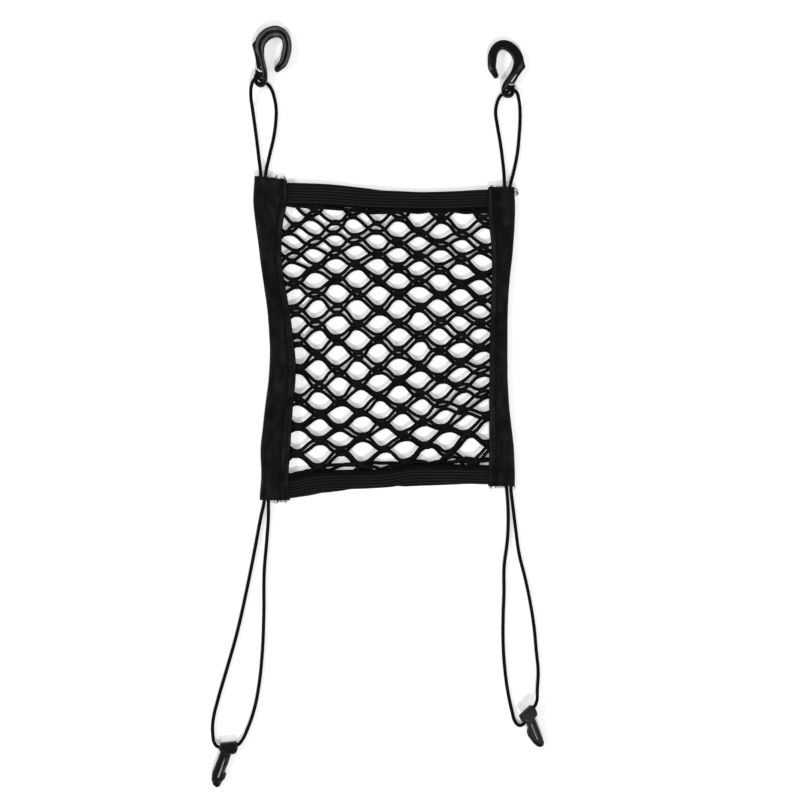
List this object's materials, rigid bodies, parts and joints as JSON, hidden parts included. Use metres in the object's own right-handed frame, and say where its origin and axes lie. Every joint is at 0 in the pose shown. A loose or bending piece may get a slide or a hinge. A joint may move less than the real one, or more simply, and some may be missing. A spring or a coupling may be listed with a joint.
{
  "type": "pet barrier net",
  "caption": "Rectangular panel of layered elastic mesh in a sewn band frame, with cord loops that carry open hooks at the top and T-headed clips at the bottom.",
  "frame": {"origin": "on the surface that the net lies on, under the middle of the banded panel", "axes": "+X across the panel, +Y up it towards the hooks, +Z up off the surface, out of the front of the net"},
  "size_m": [0.3194, 0.7287, 0.0125],
  "materials": {
    "webbing": "matt black woven webbing",
    "ribbed_elastic": "matt black ribbed elastic",
    "net_cord": "matt black elastic cord",
    "loop_cord": "black braided elastic cord",
    "moulding": "satin black moulded plastic"
  },
  "bodies": {
    "root": {"net_back": "net_cord", "net_front": "net_cord", "band_top": "ribbed_elastic", "band_bottom": "ribbed_elastic", "band_left": "webbing", "band_right": "webbing", "loop_top_left": "loop_cord", "loop_top_right": "loop_cord", "loop_bottom_left": "loop_cord", "loop_bottom_right": "loop_cord", "hook_top_left": "moulding", "hook_top_right": "moulding", "clip_bottom_left": "moulding", "clip_bottom_right": "moulding"}
  },
  "joints": []
}
